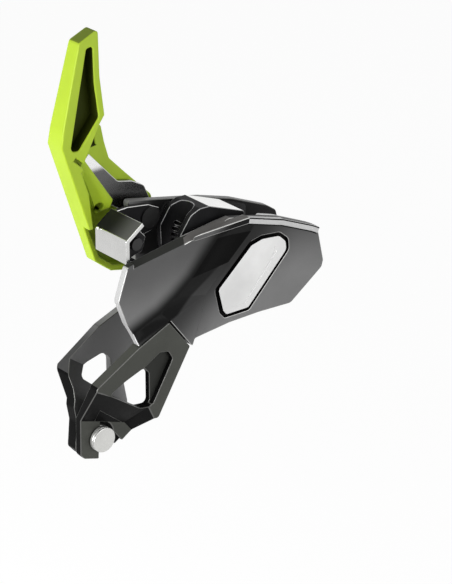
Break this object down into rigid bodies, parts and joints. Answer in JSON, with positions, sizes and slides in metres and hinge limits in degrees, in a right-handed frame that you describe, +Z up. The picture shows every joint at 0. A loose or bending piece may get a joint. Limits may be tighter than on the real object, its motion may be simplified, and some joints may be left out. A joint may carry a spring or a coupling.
{
  "type": "assisted braking belay device",
  "caption": "Rope belay device: two side plates swing open on one pivot, a cam pinches the rope, a folding lime handle releases it, and a sprung pin holds the loop leg.",
  "frame": {"origin": "on the axis of the locking pin, at the depth of the joint between the two lower legs", "axes": "+X towards the brake end, +Y from the opening side plates to the fixed back plate, +Z up in use"},
  "size_m": [0.112, 0.0366, 0.1624],
  "materials": {
    "dark_plate": "dark grey anodised, satin",
    "satin_plate": "mid grey anodised, satin",
    "bright_insert": "clear anodised, fine satin",
    "liner_steel": "stainless, brushed",
    "bright_steel": "stainless, polished",
    "spring_steel": "drawn spring steel",
    "bearing": "plain bearing bronze",
    "lime_plastic": "glass filled nylon, lime green, satin"
  },
  "bodies": {
    "frame": {"back_plate": "dark_plate", "back_wear_plate": "liner_steel", "pinch_anvil": "liner_steel", "anvil_rivets": "bright_steel", "brake_nose": "liner_steel", "nose_rivets": "bright_steel", "cam_axle": "bright_steel", "plate_pivot_axle": "bright_steel", "plate_pivot_sleeve": "bright_steel", "pivot_washer": "bright_steel", "pivot_retaining_ring": "spring_steel", "pin_cap": "dark_plate", "release_axle_bush": "bearing"},
    "loop_gate": {"loop_side_leg": "dark_plate", "leg_pivot_bush": "bearing"},
    "rope_gate": {"rope_side_plate": "satin_plate", "brake_side_liner": "liner_steel", "liner_rivets": "bright_steel", "pivot_cover": "bright_insert", "rope_plate_bush": "bearing"},
    "lock_button": {"locking_pin": "bright_steel", "pin_clip": "spring_steel", "locking_pin_spring": "spring_steel"},
    "cam": {"friction_cam": "liner_steel", "cam_bush": "bearing", "cam_return_spring": "spring_steel"},
    "release": {"release_yoke": "bright_steel", "release_axle": "bright_steel", "yoke_spring_post": "bright_steel", "yoke_return_spring": "spring_steel", "handle_retaining_ring": "spring_steel"},
    "handle": {"handle_grip": "lime_plastic", "lever_arm": "bright_steel", "grip_rivets": "bright_steel", "lever_bush": "bearing"}
  },
  "joints": [
    {"name": "loop_gate_hinge", "type": "hinge", "parent": "frame", "child": "loop_gate", "pos_m": [0.064, 0, 0.0455], "axis": [0, 1, 0], "range_deg": [0, 65]},
    {"name": "rope_gate_hinge", "type": "hinge", "parent": "loop_gate", "child": "rope_gate", "pos_m": [0.064, 0, 0.0455], "axis": [0, 1, 0], "range_deg": [0, 90]},
    {"name": "lock_button_slide", "type": "slide", "parent": "frame", "child": "lock_button", "axis": [0, 1, 0], "range_m": [0, 0.0018], "stiffness_N_per_m": 1500, "springref_m": -0.001, "deforming": ["locking_pin_spring"]},
    {"name": "cam_hinge", "type": "hinge", "parent": "frame", "child": "cam", "pos_m": [0.06, 0, 0.067], "axis": [0, 1, 0], "range_deg": [0, 18], "stiffness_Nm_per_rad": 0.15, "springref_deg": -20.05, "deforming": ["cam_return_spring"]},
    {"name": "release_hinge", "type": "hinge", "parent": "frame", "child": "release", "pos_m": [0.0345, 0, 0.0768], "axis": [0, 1, 0], "range_deg": [-22, 0], "stiffness_Nm_per_rad": 0.2, "springref_deg": 17.19},
    {"name": "handle_fold_hinge", "type": "hinge", "parent": "release", "child": "handle", "pos_m": [0.0345, 0, 0.0768], "axis": [0, 1, 0], "range_deg": [0, 110]}
  ]
}
